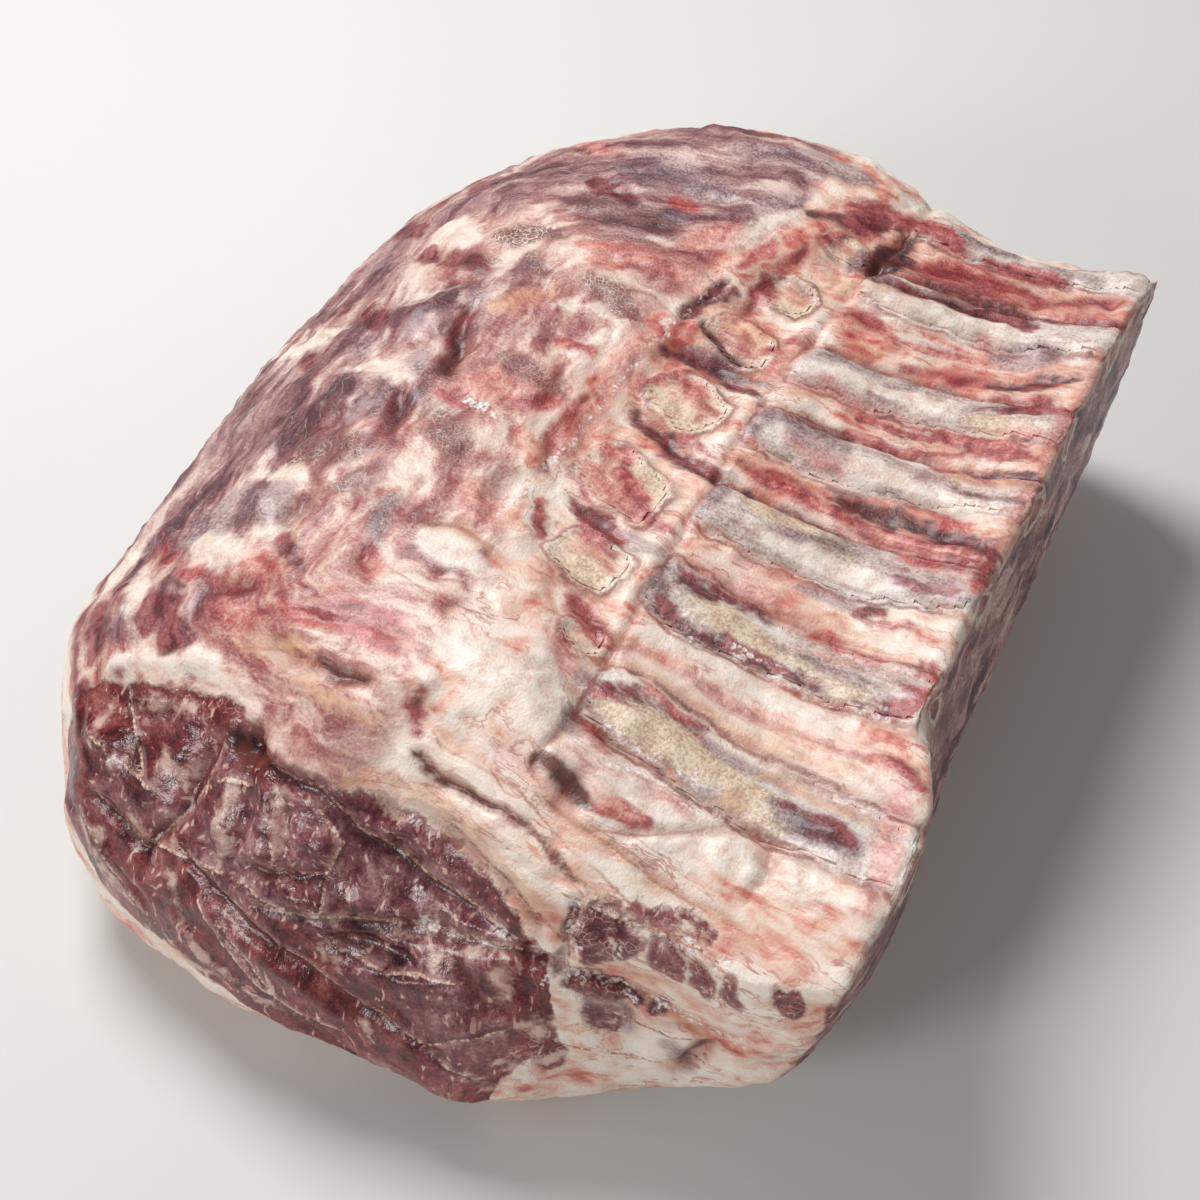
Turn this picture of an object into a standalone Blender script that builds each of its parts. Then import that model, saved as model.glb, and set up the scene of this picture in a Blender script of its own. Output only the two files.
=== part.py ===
"""Raw beef rib roast, bone side up: one slab of meat and fat, seven rib bones, seven split chine bones.

Metres, +Z up. X runs across the roast, from the back muscle (-X) to the sawn rib ends (+X). Y runs along
the spine, from the thick shoulder-end cut (-Y) to the loin end (+Y). The origin is under the middle of
the roast, on the surface that it lies on.
"""

import math

import bmesh
import bpy
from mathutils import Matrix, Vector

# ---- driving sizes ------------------------------------------------------------------------------------

GAP = 0.0003  # between a bone and its bed

# Lines that run the length of the roast, each as (y, x) knots joined by a smooth curve.
LEFT_EDGE = ((-0.180, -0.107), (-0.157, -0.122), (-0.137, -0.137), (-0.115, -0.147), (-0.087, -0.149),
             (-0.026, -0.155), (0.008, -0.157), (0.046, -0.157), (0.086, -0.155), (0.132, -0.147),
             (0.162, -0.133), (0.188, -0.113))
RIDGE_LINE = ((-0.188, 0.047), (-0.130, 0.044), (-0.102, 0.035), (-0.070, 0.019), (-0.036, -0.006),
              (-0.008, -0.012), (0.026, -0.008), (0.088, 0.006), (0.149, 0.034), (0.188, 0.043))
SAW_LINE = ((-0.188, 0.060), (-0.122, 0.051), (-0.085, 0.039), (0.038, 0.036), (0.103, 0.041),
            (0.150, 0.047), (0.188, 0.056))
RIGHT_EDGE = ((-0.188, 0.137), (-0.147, 0.149), (-0.100, 0.152), (-0.070, 0.145), (-0.044, 0.136),
              (0.006, 0.134), (0.051, 0.136), (0.121, 0.136), (0.179, 0.139), (0.194, 0.137))
RIGHT_FLANK = ((-0.188, 0.130), (-0.141, 0.142), (-0.118, 0.148), (-0.095, 0.149), (-0.067, 0.146),
               (-0.021, 0.142), (0.037, 0.141), (0.146, 0.138), (0.194, 0.134))

# The two cut ends, each as (x, y) knots: their upper edges, and how far the front cut's belly comes out.
FRONT_EDGE = ((-0.109, -0.167), (-0.097, -0.158), (-0.084, -0.148), (-0.068, -0.138), (-0.051, -0.136),
              (-0.014, -0.148), (0.003, -0.138), (0.026, -0.137), (0.046, -0.142), (0.066, -0.149),
              (0.094, -0.149), (0.124, -0.150), (0.149, -0.144))
FRONT_BELLY = ((-0.122, -0.162), (-0.105, -0.176), (-0.077, -0.185), (-0.042, -0.192), (-0.009, -0.191),
               (0.039, -0.189), (0.058, -0.181), (0.074, -0.169), (0.092, -0.160), (0.108, -0.155),
               (0.123, -0.152), (0.143, -0.145))
BACK_EDGE = ((-0.127, 0.143), (-0.103, 0.160), (-0.078, 0.171), (-0.048, 0.181), (-0.016, 0.1866),
             (0.033, 0.1857), (0.067, 0.182), (0.086, 0.179), (0.094, 0.186), (0.137, 0.1828))
BACK_BELLY = 0.0033  # the loin-end cut bulges this far beyond its upper edge

# Heights across the roast, each as (share of the way, z) knots.
BACK_MUSCLE_TOP = ((0.0, 0.121), (0.2, 0.126), (0.42, 0.126), (0.62, 0.120), (0.8, 0.109), (1.0, 0.088))
RIB_PLATE_TOP = ((0.0, 0.117), (0.25, 0.111), (0.55, 0.107), (0.8, 0.110), (1.0, 0.115))
CHINE_DROP = 0.004  # the sawn chine lies this far below the line from the ridge to the rib plate
CHINE_STEP = 0.006  # over this width
CHINE_FADE = (-0.141, -0.117)  # and the drop grows between these y
FRONT_ROUNDING = (0.036, 0.012)  # the top dips over this length by this much, to soften the cuts' edges
BACK_ROUNDING = (0.026, 0.010)
FAT_CAP_UNDERSIDE = ((-0.150, 0.053), (-0.132, 0.028), (-0.105, 0.008), (-0.080, 0.000), (0.042, 0.000),
                     (0.070, 0.006), (0.099, 0.019), (0.122, 0.036), (0.150, 0.056))
FOOT_CURL = (-0.158, 0.161, 0.019, 0.005)  # beyond these y, over this length, it also curls up this much

# How the upright faces curve, each as (share of the height, amount) knots. The sides stand in from their
# edge lines by these lengths; the front cut keeps this share of its bulge.
LEFT_SIDE = ((0.0, 0.034), (0.15, 0.015), (0.42, 0.000), (0.70, 0.003), (1.0, 0.015))
RIGHT_SIDE = ((0.0, 0.032), (0.14, 0.013), (0.30, 0.003), (0.45, 0.000), (1.0, 0.000))
FRONT_BULGE = ((0.0, 0.66), (0.08, 0.92), (0.20, 1.0), (0.42, 0.92), (0.72, 0.56), (0.90, 0.20), (1.0, 0.0))
BACK_TUCK = ((0.0, 0.017), (0.12, 0.006), (0.30, 0.000), (1.0, 0.000))

# The meat's facets: steps across the back muscle, the chine's step, the chine and the rib plate, then
# along the roast and up its sides.
STEPS_ACROSS = (9, 1, 3, 8)
STEPS_ALONG = 26
STEPS_UP = 8

# Rib bones, from the shoulder end: (y at the chine, y at the sawn tip, width).
RIBS = ((-0.088, -0.102, 0.025), (-0.041, -0.046, 0.023), (-0.004, 0.001, 0.022), (0.036, 0.047, 0.021),
        (0.071, 0.085, 0.020), (0.119, 0.131, 0.020), (0.158, 0.168, 0.015))
RIB_THICKNESS = 0.012
RIB_SUNK = 0.0038  # its centre lies this far below the meat's surface
RIB_FLARE = 1.18  # a rib is this much wider at the chine than at its tip
RIB_BOW = 0.002  # it bows this far towards the shoulder end
RIB_TIP_INSET = 0.0008  # the sawn tip stands in this far from the side
RIB_STATIONS = 9
RIB_SIDES = 12

# Chine bones, half of a vertebra each, from the shoulder end: (y, breadth, slant in degrees). Their length
# is what the chine leaves between its edges.
CHINE_BONES = ((-0.074, 0.014, -16), (-0.044, 0.023, -18), (-0.009, 0.026, -22), (0.034, 0.024, -28),
               (0.069, 0.021, -19), (0.099, 0.019, -12), (0.130, 0.015, -8))
CHINE_DEEP = 0.021
CHINE_PROUD = 0.0014
CHINE_MARGIN = -0.0010  # from the chine's steps to the chine bones; below zero, they reach over them
CHINE_CORNER, CHINE_ROUNDING = 0.0070, 0.0012  # of its upright corners, and of its top edge

COLOURS = {
    "meat": (0.46, 0.16, 0.13, 0.42),
    "rib_bone": (0.66, 0.58, 0.46, 0.50),
    "chine_bone": (0.70, 0.58, 0.40, 0.50),
}


# ---- curves through a few knots -----------------------------------------------------------------------

def along(knots, t):
    """The value at t of a smooth curve through (t, value) knots that never overshoots them."""
    if t <= knots[0][0]:
        return knots[0][1]
    if t >= knots[-1][0]:
        return knots[-1][1]
    i = next(k for k in range(1, len(knots)) if t < knots[k][0]) - 1
    (t0, a), (t1, b) = knots[i], knots[i + 1]
    slope = (b - a) / (t1 - t0)

    def knot_slope(k):
        if k <= 0 or k >= len(knots) - 1:
            return slope
        before = (knots[k][1] - knots[k - 1][1]) / (knots[k][0] - knots[k - 1][0])
        after = (knots[k + 1][1] - knots[k][1]) / (knots[k + 1][0] - knots[k][0])
        return 0.0 if before * after <= 0 else 2 * before * after / (before + after)

    s, span = (t - t0) / (t1 - t0), t1 - t0
    m0, m1 = knot_slope(i) * span, knot_slope(i + 1) * span
    return (a * (1 + 2 * s) * (1 - s) ** 2 + m0 * s * (1 - s) ** 2
            + b * s * s * (3 - 2 * s) - m1 * s * s * (1 - s))


def ease(t):
    t = min(1.0, max(0.0, t))
    return t * t * (3 - 2 * t)


def between(a, b, share):
    return a + (b - a) * share


# ---- the meat's surface -------------------------------------------------------------------------------

def end_rounding(x, y):
    """How far the top dips towards each cut end, so that their edges are soft."""
    front = ease((along(FRONT_EDGE, x) + FRONT_ROUNDING[0] - y) / FRONT_ROUNDING[0])
    back = ease((y - along(BACK_EDGE, x) + BACK_ROUNDING[0]) / BACK_ROUNDING[0])
    return FRONT_ROUNDING[1] * front ** 2 + BACK_ROUNDING[1] * back ** 2


def top_height(x, y):
    """Height of the bone side: the crowned back muscle, a small step down to the chine, the rib plate."""
    left = along(LEFT_EDGE, y) + LEFT_SIDE[-1][1]
    right = along(RIGHT_EDGE, y)
    ridge, saw = along(RIDGE_LINE, y), along(SAW_LINE, y)
    if x <= ridge:
        z = along(BACK_MUSCLE_TOP, (ridge - x) / (ridge - left))
    elif x <= saw:
        grown = ease((y - CHINE_FADE[0]) / (CHINE_FADE[1] - CHINE_FADE[0]))
        z = between(BACK_MUSCLE_TOP[0][1], RIB_PLATE_TOP[0][1], (x - ridge) / (saw - ridge))
        z -= CHINE_DROP * grown * ease((x - ridge) / CHINE_STEP) * ease((saw - x) / CHINE_STEP)
    else:
        z = along(RIB_PLATE_TOP, (x - saw) / (right - saw))
    return z - end_rounding(x, y)


def foot_height(x, y):
    """Height of the fat cap's underside: flat where the roast lies, curling up to both long sides."""
    ends = ease((FOOT_CURL[0] - y) / FOOT_CURL[2]) + ease((y - FOOT_CURL[1]) / FOOT_CURL[2])
    return along(FAT_CAP_UNDERSIDE, x) + FOOT_CURL[3] * ends


def x_of(column, y, up):
    """The x of a column of the grid. At the top the columns follow the ridge, the chine and the saw line;
    lower down they spread out evenly."""
    left = along(LEFT_EDGE, y) + along(LEFT_SIDE, up)
    right = between(along(RIGHT_FLANK, y), along(RIGHT_EDGE, y), ease((up - 0.4) / 0.6))
    right -= along(RIGHT_SIDE, up)
    ridge = along(RIDGE_LINE, y)
    lines = (left, ridge, ridge + CHINE_STEP, along(SAW_LINE, y), right)
    done = 0
    for k, count in enumerate(STEPS_ACROSS):
        if column <= done + count:
            break
        done += count
    led = between(lines[k], lines[k + 1], (column - done) / count)
    even = between(left, right, column / sum(STEPS_ACROSS))
    return between(even, led, up ** 3)


def end_of(column, up, place, start):
    """The y at which a column of the grid meets a cut end: place(x, up) is the cut's y."""
    y = start
    for _ in range(12):
        y = between(y, place(x_of(column, y, up), up), 0.6)
    return y


def front_place(x, up):
    return between(along(FRONT_EDGE, x), along(FRONT_BELLY, x), along(FRONT_BULGE, up))


def back_place(x, up):
    return along(BACK_EDGE, x) + BACK_BELLY * math.sin(math.pi * up) - along(BACK_TUCK, up)


def meat_point(across, length, up):
    """A point of the meat's surface from its place on the unit box: the shares of width, length, height."""
    column = across * sum(STEPS_ACROSS)
    front = end_of(column, up, front_place, FRONT_EDGE[0][1])
    back = end_of(column, up, back_place, BACK_EDGE[0][1])
    y = between(front, back, length)
    x = x_of(column, y, up)
    z = between(foot_height(x_of(column, y, 0.0), y), top_height(x_of(column, y, 1.0), y), up)
    return Vector((x, y, z))


def meat_mesh():
    """A box cut into a grid, whose points are moved onto the meat's surface."""
    bm = bmesh.new()
    bmesh.ops.create_cube(bm, size=1.0, matrix=Matrix.Translation((0.5, 0.5, 0.5)))
    for axis, steps in enumerate((sum(STEPS_ACROSS), STEPS_ALONG, STEPS_UP)):
        edges = [e for e in bm.edges if abs(e.verts[0].co[axis] - e.verts[1].co[axis]) > 0.5]
        bmesh.ops.subdivide_edges(bm, edges=edges, cuts=steps - 1, use_grid_fill=True)
    for vert in bm.verts:
        vert.co = meat_point(*vert.co)
    bmesh.ops.recalc_face_normals(bm, faces=bm.faces)
    return bm


# ---- the bones ----------------------------------------------------------------------------------------

def rib_mesh(rib, grow=0.0, beyond=0.0):
    """A flat oval bar that follows the rib plate from the saw line to the side. A bed is grown by the gap
    and runs on beyond the sawn tip."""
    y_chine, y_tip, width = rib
    x_chine = along(SAW_LINE, y_chine) + 0.0015
    x_tip = along(RIGHT_EDGE, y_tip) - RIB_TIP_INSET
    upright = Matrix(((0, 0, 1, 0), (1, 0, 0, 0), (0, 1, 0, 0), (0, 0, 0, 1)))
    stations = [between(x_chine, x_tip, i / (RIB_STATIONS - 1)) for i in range(RIB_STATIONS)]
    shifts = [-grow] + [0.0] * (RIB_STATIONS - 1)
    if beyond:
        stations.append(x_tip)
        shifts.append(beyond)
    bm = bmesh.new()
    rings = []
    for x, shift in zip(stations, shifts):
        share = (x - x_chine) / (x_tip - x_chine)
        y = between(y_chine, y_tip, share) - RIB_BOW * math.sin(math.pi * share)
        half_width = width / 2 * between(RIB_FLARE, 1.0, ease(share * 1.6))
        end = 0.80 if share == 0 else 1.0
        centre = Vector((x + shift, y, top_height(x, y) - RIB_SUNK))
        size = Matrix.Diagonal((half_width * end + grow, RIB_THICKNESS / 2 * end + grow, 1.0, 1.0))
        ring = bmesh.ops.create_circle(bm, segments=RIB_SIDES, radius=1.0,
                                       matrix=Matrix.Translation(centre) @ upright @ size)
        rings.append({edge for vert in ring["verts"] for edge in vert.link_edges})
    for one, next_one in zip(rings, rings[1:]):
        bmesh.ops.bridge_loops(bm, edges=list(one | next_one))
    bmesh.ops.holes_fill(bm, edges=[e for e in bm.edges if e.is_boundary], sides=0)
    bmesh.ops.recalc_face_normals(bm, faces=bm.faces)
    return bm


def chine_mesh(bone, grow=0.0, raised=0.0):
    """Half a vertebra: a block with round corners, laid across the chine at a slant. A bed is grown by the
    gap and raised until it breaks through the meat's surface."""
    y, broad, slant = bone
    slant = math.radians(slant)
    left = along(RIDGE_LINE, y) + CHINE_STEP + CHINE_MARGIN
    right = along(SAW_LINE, y) - CHINE_STEP - CHINE_MARGIN
    long = (right - left + 0.4 * CHINE_CORNER - broad * abs(math.sin(slant))) / math.cos(slant)
    size = Vector((max(long, broad), broad, CHINE_DEEP))
    bm = bmesh.new()
    bmesh.ops.create_cube(bm, size=1.0)
    for vert in bm.verts:
        vert.co = Vector(a * b for a, b in zip(vert.co, size))
    upright = [e for e in bm.edges if abs(e.verts[0].co.z - e.verts[1].co.z) > 0.5 * CHINE_DEEP]
    bmesh.ops.bevel(bm, geom=upright, offset=CHINE_CORNER, offset_type="OFFSET", affect="EDGES",
                    segments=4, profile=0.5, material=-1)
    rim = [e for e in bm.edges if min(v.co.z for v in e.verts) > 0]
    bmesh.ops.bevel(bm, geom=rim, offset=CHINE_ROUNDING, offset_type="OFFSET", affect="EDGES",
                    segments=1, profile=0.5, material=-1)
    for vert in bm.verts:
        vert.co = Vector(a * (b + 2 * grow) / b for a, b in zip(vert.co, size))
        if vert.co.z > 0:
            vert.co.z += raised
    x = (left + right) / 2
    fall = math.atan2(top_height(left, y) - top_height(right, y), right - left)
    middle = Vector((x, y, top_height(x, y) + CHINE_PROUD - CHINE_DEEP / 2))
    lay = Matrix.Translation(middle) @ Matrix.Rotation(fall, 4, "Y") @ Matrix.Rotation(slant, 4, "Z")
    bm.transform(lay)
    bmesh.ops.recalc_face_normals(bm, faces=bm.faces)
    return bm


# ---- objects ------------------------------------------------------------------------------------------

def finish_of(kind):
    material = bpy.data.materials.get(kind)
    if material is None:
        *colour, roughness = COLOURS[kind]
        material = bpy.data.materials.new(kind)
        material.use_nodes = True
        shader = material.node_tree.nodes["Principled BSDF"]
        shader.inputs["Base Color"].default_value = (*colour, 1.0)
        shader.inputs["Roughness"].default_value = roughness
        shader.inputs["Metallic"].default_value = 0.0
    return material


def new_object(name, bm, kind, collection, smooth_to=math.radians(50)):
    mesh = bpy.data.meshes.new(name)
    bm.to_mesh(mesh)
    bm.free()
    mesh.shade_smooth()
    mesh.set_sharp_from_angle(angle=smooth_to)
    mesh.materials.append(finish_of(kind))
    obj = bpy.data.objects.new(name, mesh)
    collection.objects.link(obj)
    return obj


def place_over_origin(objects):
    """Shifts every mesh by one and the same amount, so that the origin is under the middle of the roast."""
    points = [vert.co for vert in objects[0].data.vertices]
    low = Vector(min(p[axis] for p in points) for axis in range(3))
    high = Vector(max(p[axis] for p in points) for axis in range(3))
    middle = (low + high) / 2
    for obj in objects:
        obj.data.transform(Matrix.Translation((-middle.x, -middle.y, -low.z)))


def build():
    for obj in list(bpy.data.objects):
        bpy.data.objects.remove(obj)
    scene = bpy.context.scene.collection
    beds = bpy.data.collections.new("bone_beds")
    scene.children.link(beds)
    meat = new_object("meat", meat_mesh(), "meat", scene)
    for number, (rib, chine) in enumerate(zip(RIBS, CHINE_BONES), start=1):
        new_object(f"rib_bone_{number}", rib_mesh(rib), "rib_bone", scene).parent = meat
        new_object(f"chine_bone_{number}", chine_mesh(chine), "chine_bone", scene).parent = meat
        for bed in (
            new_object(f"rib_bed_{number}", rib_mesh(rib, GAP, 0.020), "meat", beds),
            new_object(f"chine_bed_{number}", chine_mesh(chine, GAP, 0.010), "meat", beds),
        ):
            bed.hide_render = True
            bed.display_type = "WIRE"
    cut = meat.modifiers.new("bone_beds", "BOOLEAN")
    cut.operation = "DIFFERENCE"
    cut.operand_type = "COLLECTION"
    cut.collection = beds
    cut.solver = "EXACT"
    place_over_origin([meat, *(obj for obj in bpy.data.objects if obj is not meat)])


build()
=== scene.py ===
"""A raw beef rib roast, bone side up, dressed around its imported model.

Metres, +Z up. X runs across the roast, from the back muscle (-X) to the sawn rib ends (+X), and Y along the
spine, from the shoulder-end cut (-Y) to the loin end (+Y). Places on its surface are in millimetres: on the
bone side as (x, y), on the shoulder-end cut as (x, z).
"""

import math

import bmesh
import bpy
import numpy as np
from mathutils import Matrix, Vector, noise
from mathutils.geometry import convex_hull_2d


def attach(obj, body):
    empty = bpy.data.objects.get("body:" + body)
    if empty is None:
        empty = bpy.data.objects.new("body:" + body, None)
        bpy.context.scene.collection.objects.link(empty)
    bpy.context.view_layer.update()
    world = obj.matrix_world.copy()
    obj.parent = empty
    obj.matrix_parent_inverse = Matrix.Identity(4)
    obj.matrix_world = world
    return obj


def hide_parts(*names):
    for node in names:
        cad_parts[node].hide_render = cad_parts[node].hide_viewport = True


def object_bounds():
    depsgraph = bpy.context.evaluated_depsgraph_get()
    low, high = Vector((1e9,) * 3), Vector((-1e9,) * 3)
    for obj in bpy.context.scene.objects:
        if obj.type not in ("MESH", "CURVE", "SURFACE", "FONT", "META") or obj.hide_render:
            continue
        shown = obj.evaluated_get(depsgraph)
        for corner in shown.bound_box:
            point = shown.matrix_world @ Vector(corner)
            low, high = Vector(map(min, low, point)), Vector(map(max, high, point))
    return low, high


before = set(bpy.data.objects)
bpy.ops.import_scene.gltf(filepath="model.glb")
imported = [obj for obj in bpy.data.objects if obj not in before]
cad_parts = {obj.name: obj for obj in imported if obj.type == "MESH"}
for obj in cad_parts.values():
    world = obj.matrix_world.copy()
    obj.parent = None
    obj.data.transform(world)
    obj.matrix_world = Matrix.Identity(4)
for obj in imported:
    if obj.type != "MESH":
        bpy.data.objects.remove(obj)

cad_low, cad_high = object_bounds()
MM = 0.001

# ---- the slab -----------------------------------------------------------------------------------------
# The whole primal in one skin: muscle, fat and membrane, grown over the beds that the bones lie in. It is
# boned on no side, so the bones show through it, and it lies on its fat cap.

COARSE_CELL = 3.2 * MM  # of the hidden sides; the sides that show are cut twice as fine
BONE_SWELL = 0.6 * MM  # closes the gap round each bone before the skin is drawn over it
SETTLE = 5  # rounds of smoothing that take the facets out


def joined(node, swell):
    """A CAD node as one connected mesh, swollen by this much."""
    bm = bmesh.new()
    bm.from_mesh(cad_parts[node].data)
    bmesh.ops.remove_doubles(bm, verts=bm.verts, dist=0.01 * MM)
    bm.normal_update()
    for vert in bm.verts:
        vert.co += vert.normal * swell
    mesh = bpy.data.meshes.new(node + "_joined")
    bm.to_mesh(mesh)
    bm.free()
    return mesh


def smoothed(bm, rounds):
    for _ in range(rounds):
        bmesh.ops.smooth_vert(bm, verts=bm.verts, factor=0.5, use_axis_x=True, use_axis_y=True,
                              use_axis_z=True)
    bm.normal_update()


def largest_shell(bm):
    """Deletes every island but the largest."""
    left, islands = set(bm.verts), []
    while left:
        island, edge_of = set(), [left.pop()]
        while edge_of:
            vert = edge_of.pop()
            island.add(vert)
            for edge in vert.link_edges:
                other = edge.other_vert(vert)
                if other in left:
                    left.remove(other)
                    edge_of.append(other)
        islands.append(island)
    islands.sort(key=len)
    for island in islands[:-1]:
        bmesh.ops.delete(bm, geom=list(island), context="VERTS")


def skin_over(nodes):
    """One closed skin over these CAD nodes, finer where it shows."""
    bm = bmesh.new()
    for node in nodes:
        bm.from_mesh(joined(node, 0.0 if node == "meat" else BONE_SWELL))
    mesh = bpy.data.meshes.new("skin")
    bm.to_mesh(mesh)
    bm.free()
    obj = bpy.data.objects.new("skin", mesh)
    bpy.context.scene.collection.objects.link(obj)
    shrink = obj.modifiers.new("skin", "REMESH")
    shrink.mode = "VOXEL"
    shrink.voxel_size = COARSE_CELL
    graph = bpy.context.evaluated_depsgraph_get()
    bm = bmesh.new()
    bm.from_mesh(obj.evaluated_get(graph).to_mesh())
    bpy.data.objects.remove(obj)
    largest_shell(bm)
    smoothed(bm, SETTLE)
    shown = [f for f in bm.faces if f.normal.z > 0.25 or f.normal.y < -0.45 or f.normal.x > 0.85]
    edges = list({edge for face in shown for edge in face.edges})
    bmesh.ops.subdivide_edges(bm, edges=edges, cuts=1, use_grid_fill=True)
    smoothed(bm, 2)
    return bm


skin = skin_over(sorted(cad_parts))
place = np.array([vert.co for vert in skin.verts]) / MM
facing = np.array([vert.normal for vert in skin.verts])
X, Y, Z = place.T


def ease(t):
    t = np.clip(t, 0.0, 1.0)
    return t * t * (3 - 2 * t)


def lumps(size, octaves=3, seed=0.0, stretch=(1, 1, 1), at=None):
    """A random field over the skin, about -1 to 1, whose lumps are this many millimetres across."""
    points = (place if at is None else at) / (size * np.array(stretch, float)) + (seed * 3.7, seed * -1.9, seed * 5.3)
    return np.array([noise.fractal(point, 1.0, 2.0, octaves) for point in points])


drift = np.stack([lumps(14, 2, 1), lumps(14, 2, 2), lumps(14, 2, 3)], 1)
ripple = np.stack([lumps(5, 2, 4), lumps(5, 2, 5), lumps(5, 2, 6)], 1)
wander = place + 2.2 * drift + 0.9 * ripple  # places, pulled about so that no edge runs straight
on_top = ease((facing[:, 2] - 0.15) / 0.25)
on_cut = ease((-facing[:, 1] - 0.25) / 0.20)
FAR = 8.0  # fields are in millimetres from an edge, counted inwards, and are cut off at this


def strokes(marks, sheet="top"):
    """How far each point lies inside the nearest of these marks. A mark is a run of places along its middle
    line, u and v in turn, then its half width; its ends are narrower."""
    flat = wander[:, [0, 1]] if sheet == "top" else wander[:, [0, 2]]
    best = np.full(len(flat), -FAR)
    for *run, half in marks:
        stops = np.array(run, float).reshape(-1, 2)
        for k, (start, end) in enumerate(zip(stops, stops[1:])):
            step = end - start
            offset = flat - start
            share = np.clip(offset @ step / max(step @ step, 1e-6), 0.0, 1.0)
            whole = (k + share) / (len(stops) - 1)
            wide = half * (0.6 + 0.4 * np.sin(np.pi * whole))
            best = np.maximum(best, wide - np.linalg.norm(offset - share[:, None] * step, axis=1))
    return best - 2 * FAR * (1 - (on_top if sheet == "top" else on_cut))


def traced(marks, sheet="top"):
    """The signed distance from the nearest of these lines, positive on its left, and how near it is."""
    flat = (place + 0.8 * drift)[:, [0, 1]] if sheet == "top" else (place + 0.8 * drift)[:, [0, 2]]
    near, signed = np.full(len(flat), 99.0), np.full(len(flat), 99.0)
    for run in marks:
        stops = np.array(run, float).reshape(-1, 2)
        for start, end in zip(stops, stops[1:]):
            step = end - start
            offset = flat - start
            share = np.clip(offset @ step / max(step @ step, 1e-6), 0.0, 1.0)
            gap = np.linalg.norm(offset - share[:, None] * step, axis=1)
            side = np.where(step[0] * offset[:, 1] - step[1] * offset[:, 0] > 0, 1.0, -1.0)
            signed = np.where(gap < near, side * gap, signed)
            near = np.minimum(near, gap)
    off = 1 - (on_top if sheet == "top" else on_cut)
    return np.clip(signed, -FAR, FAR), np.clip(2.5 - near - 6 * off, -FAR, FAR)


def spots(marks, sheet="top"):
    """The sum of soft round spots (u, v, radius, height)."""
    flat = place[:, [0, 1]] if sheet == "top" else place[:, [0, 2]]
    total = np.zeros(len(flat))
    for u, v, radius, height in marks:
        total += height * np.exp(-((flat - (u, v)) ** 2).sum(1) / radius ** 2)
    return total


def either(*fields):
    return np.clip(np.maximum.reduce(fields), -FAR, FAR)


def line(knots, at):
    """The value at these points of a straight-run line through (at, value) knots."""
    return np.interp(at, [knot[0] for knot in knots], [knot[1] for knot in knots])


def inside_of(corners, at):
    """How far inside an outline each point lies, where the outline's corners run anticlockwise."""
    inside = np.full(len(at), 999.0)
    for start, end in zip(corners, np.roll(corners, -1, axis=0)):
        length = np.linalg.norm(end - start)
        if length > 0.01:  # the hull may name one corner twice
            run = (end - start) / length
            inside = np.minimum(inside, (at - start) @ (-run[1], run[0]))
    return inside


# Where the bones lie, read from the model.
class Bone:
    """A bone's outline from above and where its middle line runs, in millimetres."""

    def __init__(self, node):
        points = np.array([vert.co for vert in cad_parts[node].data.vertices]) / MM
        self.node = node
        self.low, self.high = points.min(0), points.max(0)
        corners = points[convex_hull_2d([tuple(point[:2]) for point in points])][:, :2]
        root = points[points[:, 0] < self.low[0] + 2][:, 1]
        tip = points[points[:, 0] > self.high[0] - 2][:, 1]
        self.root_y, self.tip_y = (root.min() + root.max()) / 2, (tip.min() + tip.max()) / 2
        self.half = (tip.max() - tip.min()) / 2
        self.inside = np.clip(inside_of(corners, wander[:, :2]), -FAR, FAR)
        self.share = (X - self.low[0]) / (self.high[0] - self.low[0])
        self.across = Y - self.root_y - (self.tip_y - self.root_y) * np.clip(self.share, 0, 1)


ribs = [Bone(f"rib_bone_{n}") for n in range(1, 8)]
chines = [Bone(f"chine_bone_{n}") for n in range(1, 8)]
saw_x = line([(rib.root_y, rib.low[0]) for rib in ribs], wander[:, 1])
ridge_x = line([(chine.root_y, chine.low[0]) for chine in chines], wander[:, 1])
past_saw = wander[:, 0] - saw_x
past_ridge = wander[:, 0] - ridge_x

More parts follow.
